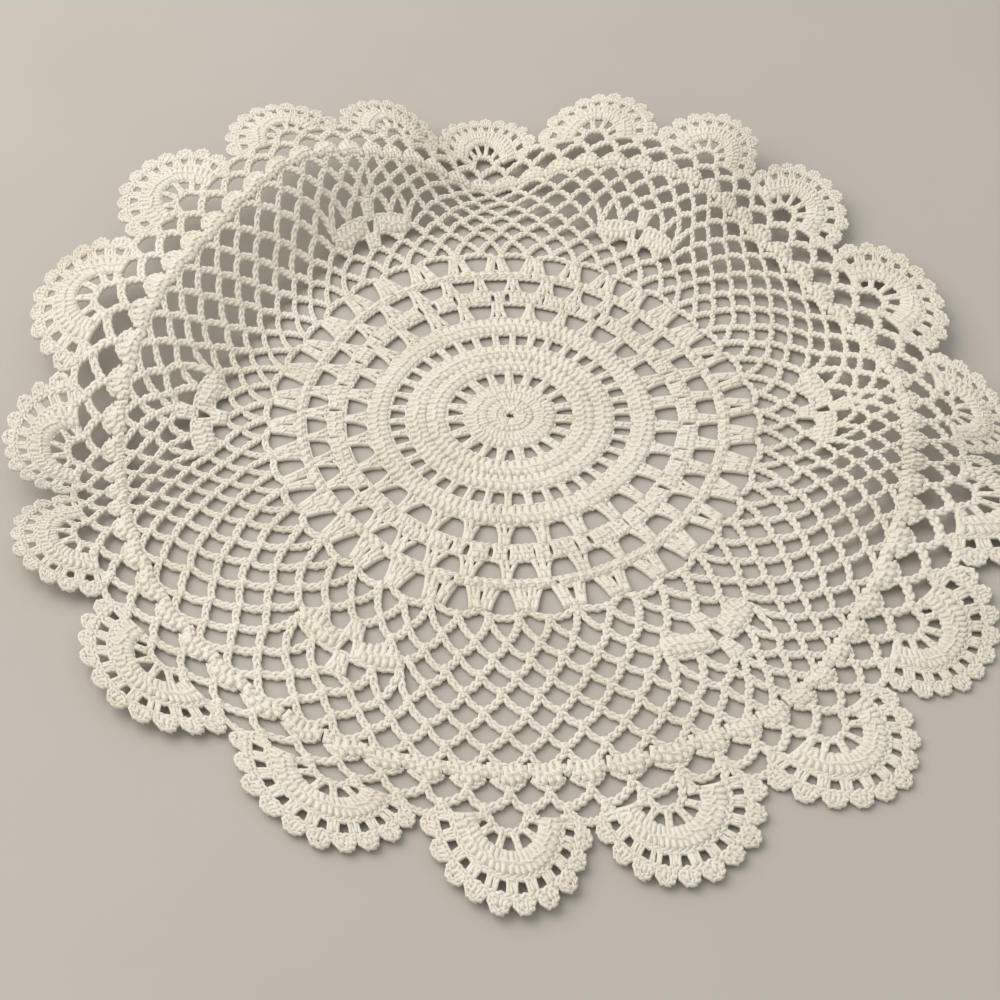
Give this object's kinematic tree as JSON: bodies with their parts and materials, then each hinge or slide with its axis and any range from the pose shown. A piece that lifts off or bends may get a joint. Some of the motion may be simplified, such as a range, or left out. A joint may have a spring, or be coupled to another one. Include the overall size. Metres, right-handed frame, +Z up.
{
  "type": "lace doily",
  "caption": "Round crocheted cotton lace doily with a dense middle, an open net and a scalloped border that rises in soft waves.",
  "frame": {"origin": "Bottom centre of the bounding box: on the surface that the doily lies on, under the middle of its outline.", "axes": "+Z is up, out of the cloth's face. -Y is the side nearest to the viewer in the picture, and +X is to the right."},
  "size_m": [0.3664, 0.3891, 0.03],
  "materials": {
    "cotton": "matt twisted cotton thread, natural off-white"
  },
  "bodies": {
    "root": {"doily": "cotton"}
  },
  "joints": []
}
